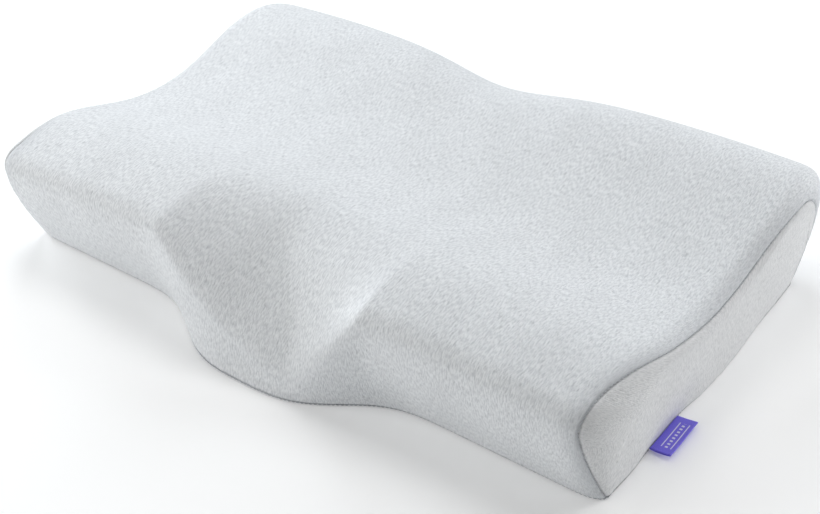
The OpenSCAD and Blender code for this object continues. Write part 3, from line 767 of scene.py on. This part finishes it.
def zip_topstitch():
    """Two rows of stitches beside the opening, holding the tapes."""
    half = SLOT_L / 2 + TOPSTITCH_PAST
    y = np.linspace(ZIP_Y - half, ZIP_Y + half, 60)
    rows = []
    for index, z in enumerate((ZIP_Z - SLOT_H / 2 - TOPSTITCH_OFF, ZIP_Z + SLOT_H / 2 + TOPSTITCH_OFF)):
        x = -(HALF_L - END_IN * (1 - z / END_REF))
        line = np.stack([np.full_like(y, x), y, np.full_like(y, z)], -1)
        out = np.array([-cos(END_TILT), 0, -sin(END_TILT)])
        rows.append(stitches(f"zip_topstitch_{index}", line + out * TOPSTITCH_OUT, np.tile(out, (len(y), 1)),
                             *TOP_STITCH, TOPSTITCH_DEPTH))
    return rows


def label_tape():
    """The folded tape: out from the seam, round the fold and back, two layers that part a little on the way."""
    n_w, n_l = 36, 40
    run = np.linspace(-LABEL_ROOT, LABEL_OUT - LABEL_FOLD, n_l)
    lift = LABEL_LIFT * (np.clip(run, 0, None) / LABEL_OUT) ** 2
    gap = LABEL_GAP * smooth_step(0.1 + run / 3) + LABEL_PART * np.sin(pi * np.clip(run / LABEL_OUT, 0, 1))
    upper = np.stack([run, lift + gap + LABEL_T], -1)
    turn = np.linspace(pi / 2, -pi / 2, 9)[1:-1]
    bend = gap[-1] + LABEL_T
    tip = np.stack([run[-1] + bend * np.cos(turn), lift[-1] + bend * np.sin(turn)], -1)
    lower = np.stack([run, lift - gap - LABEL_T], -1)[::-1]
    outer = np.concatenate([upper, tip, lower])
    across = np.linspace(0, LABEL_W, n_w)
    sway = LABEL_SWAY * np.sin(across / LABEL_W * 2 * pi + 0.7)
    length = np.concatenate([[0.0], np.cumsum(np.linalg.norm(np.diff(outer, axis=0), axis=1))])
    verts, uv = [], []
    for k, (x, z) in enumerate(outer):
        wave = sway * np.clip(x / LABEL_OUT, 0, 1) ** 1.5
        for a, s in zip(across, wave):
            verts.append((LABEL_X + x, LABEL_Y + LABEL_W / 2 - a, LABEL_Z + z + s))
            uv.append((a, length[k]))
    obj = add_mesh("side_label_tape", np.array(verts), grid_faces(len(outer), n_w, True), np.array(uv))
    thicken(obj, LABEL_T)
    return obj


def label_stitches():
    """The row of stitches on the end panel above the label."""
    half = LABEL_W / 2 - LABEL_STITCH_IN
    y = np.linspace(LABEL_Y - half, LABEL_Y + half, 30)
    z = LABEL_STITCH_Z
    x = HALF_L - END_IN * (1 - z / END_REF) + bow(y, z) - LABEL_STITCH_SINK
    line = np.stack([x, y, np.full_like(y, z)], -1)
    out = np.array([cos(END_TILT), 0, -sin(END_TILT)])
    return stitches("label_stitches", line, np.tile(out, (len(y), 1)), *LABEL_STITCH, LABEL_STITCH_DEPTH)


def closed_body(d, room, low, n_long, n_round, n_top, n_wall):
    """The whole closed body at a depth: the long skin, the base and both end caps, joined where they meet."""
    st = [s[:, None] for s in stations(n_long, n_round)]
    v, w = around(n_top, n_wall)
    skin = body_at(st, v[None, :], w[None, :], d, room, low)
    across = np.linspace(-1, 1, n_top + 1)[None, :]
    base = body_at(st, across, np.ones_like(across), d, room, low)
    down = np.concatenate([[0.0], w[-n_wall:]])[None, :]
    verts, faces = [], []
    ends = [(body_at((np.float64(side), np.float64(0), np.float64(1)), across.T, down, d, room, low), side > 0)
            for side in (-1, 1)]
    for points, flip in [(skin, False), (base, True)] + ends:
        faces += [tuple(k + len(verts) for k in face) for face in grid_faces(*points.shape[:2], flip)]
        verts += points.reshape(-1, 3).tolist()
    first, where = same_points(np.array(verts), 1000)
    joined = [tuple(dict.fromkeys(where[list(face)].tolist())) for face in faces]
    return np.array(verts)[first], [face for face in joined if len(face) > 2]


def foam_block():
    """The moulded core: the same shape a few millimetres inside, and just within the CAD's coarser core."""
    verts, faces = closed_body(CORE_IN + FOAM_IN, ZIP_ROOM, CORE_LOW + FOAM_UP,
                               n_long=110, n_round=8, n_top=90, n_wall=20)
    return add_mesh("foam_block", verts, faces)


# ---------------------------------------------------------------- build

add_camera()
add_studio()

LIGHT, GREY, DARK = (0.80, 0.825, 0.85, 1), (0.60, 0.625, 0.655, 1), (0.40, 0.42, 0.45, 1)
KNIT = knit("heather_knit", LIGHT, GREY, DARK)
END_KNIT = knit("heather_knit_ends", (0.78, 0.79, 0.80, 1), (0.585, 0.60, 0.615, 1), (0.40, 0.41, 0.43, 1), 0.85)
BASE_KNIT = knit("underside_knit", (0.66, 0.68, 0.71, 1), (0.50, 0.52, 0.55, 1), (0.33, 0.35, 0.38, 1),
                 0.8, 1.2, 0.1)
THREAD = thread_material("seam_thread", (0.60, 0.62, 0.65, 1), (0.42, 0.44, 0.47, 1))
PALE_THREAD = thread_material("cover_thread", (0.76, 0.78, 0.80, 1), (0.60, 0.62, 0.65, 1))
LINER = woven("liner_knit", (0.90, 0.90, 0.89, 1), (0.74, 0.74, 0.73, 1), 0.9, 0.85)
TAPE = woven("zip_tape_weave", (0.62, 0.64, 0.67, 1), (0.42, 0.44, 0.47, 1), 0.8, 0.8)
TEETH = moulded("zip_teeth_plastic", (0.55, 0.57, 0.60, 1), (0.72, 0.74, 0.76, 1), 0.38, 0.0)
METAL = moulded("zip_painted_metal", (0.34, 0.36, 0.39, 1), (0.62, 0.63, 0.65, 1), 0.34, 0.75, 900.0)

top = top_panel()
thicken(top, COVER_T)
place(top, "pillow", KNIT, ["cover_top"])

end_right = end_panel(1, "cover_end_right_knit")
thicken(end_right, COVER_T)
place(end_right, "pillow", END_KNIT, ["cover_end_right"])

end_left = end_panel(-1, "cover_end_left_knit")
thicken(end_left, COVER_T)
cut_slot(end_left)
place(end_left, "pillow", END_KNIT, ["cover_end_left"])

base = base_panel()
place(base, "pillow", BASE_KNIT, ["cover_base"])

foam = foam_block()
place(foam, "pillow", foam_material(), ["foam_core"])

place(end_seam(1, "seam_end_right_stitches"), "pillow", THREAD, ["seam_end_right"])
place(end_seam(-1, "seam_end_left_stitches"), "pillow", THREAD, ["seam_end_left"])
place(base_seam(), "pillow", THREAD, ["seam_base"])
for row in zip_topstitch():
    place(row, "pillow", PALE_THREAD)
place(label_stitches(), "pillow", PALE_THREAD, ["label_stitching"])
place(label_tape(), "label", label_material(), ["side_label"])

for names, finish in (
    (("liner_top", "liner_end_right", "liner_end_left", "liner_base"), LINER),
    (("zip_tape_upper", "zip_tape_lower"), TAPE),
    (("zip_teeth_upper", "zip_teeth_lower"), TEETH),
    (("zip_stop_front", "zip_stop_back", "zip_slider", "zip_pull"), METAL),
):
    for name in names:
        CAD[name].data.materials.clear()
        CAD[name].data.materials.append(finish)

FLOOR_HALF, FLOOR_N, FLOOR_Z = 6000.0, 24, -0.2
grid = np.linspace(-FLOOR_HALF, FLOOR_HALF, FLOOR_N)
fx, fy = np.meshgrid(grid, grid, indexing="ij")
floor_points = np.stack([fx, fy, np.full_like(fx, FLOOR_Z)], -1).reshape(-1, 3)
floor = add_mesh("floor", floor_points, grid_faces(FLOOR_N, FLOOR_N))
floor.data.materials.append(floor_material())
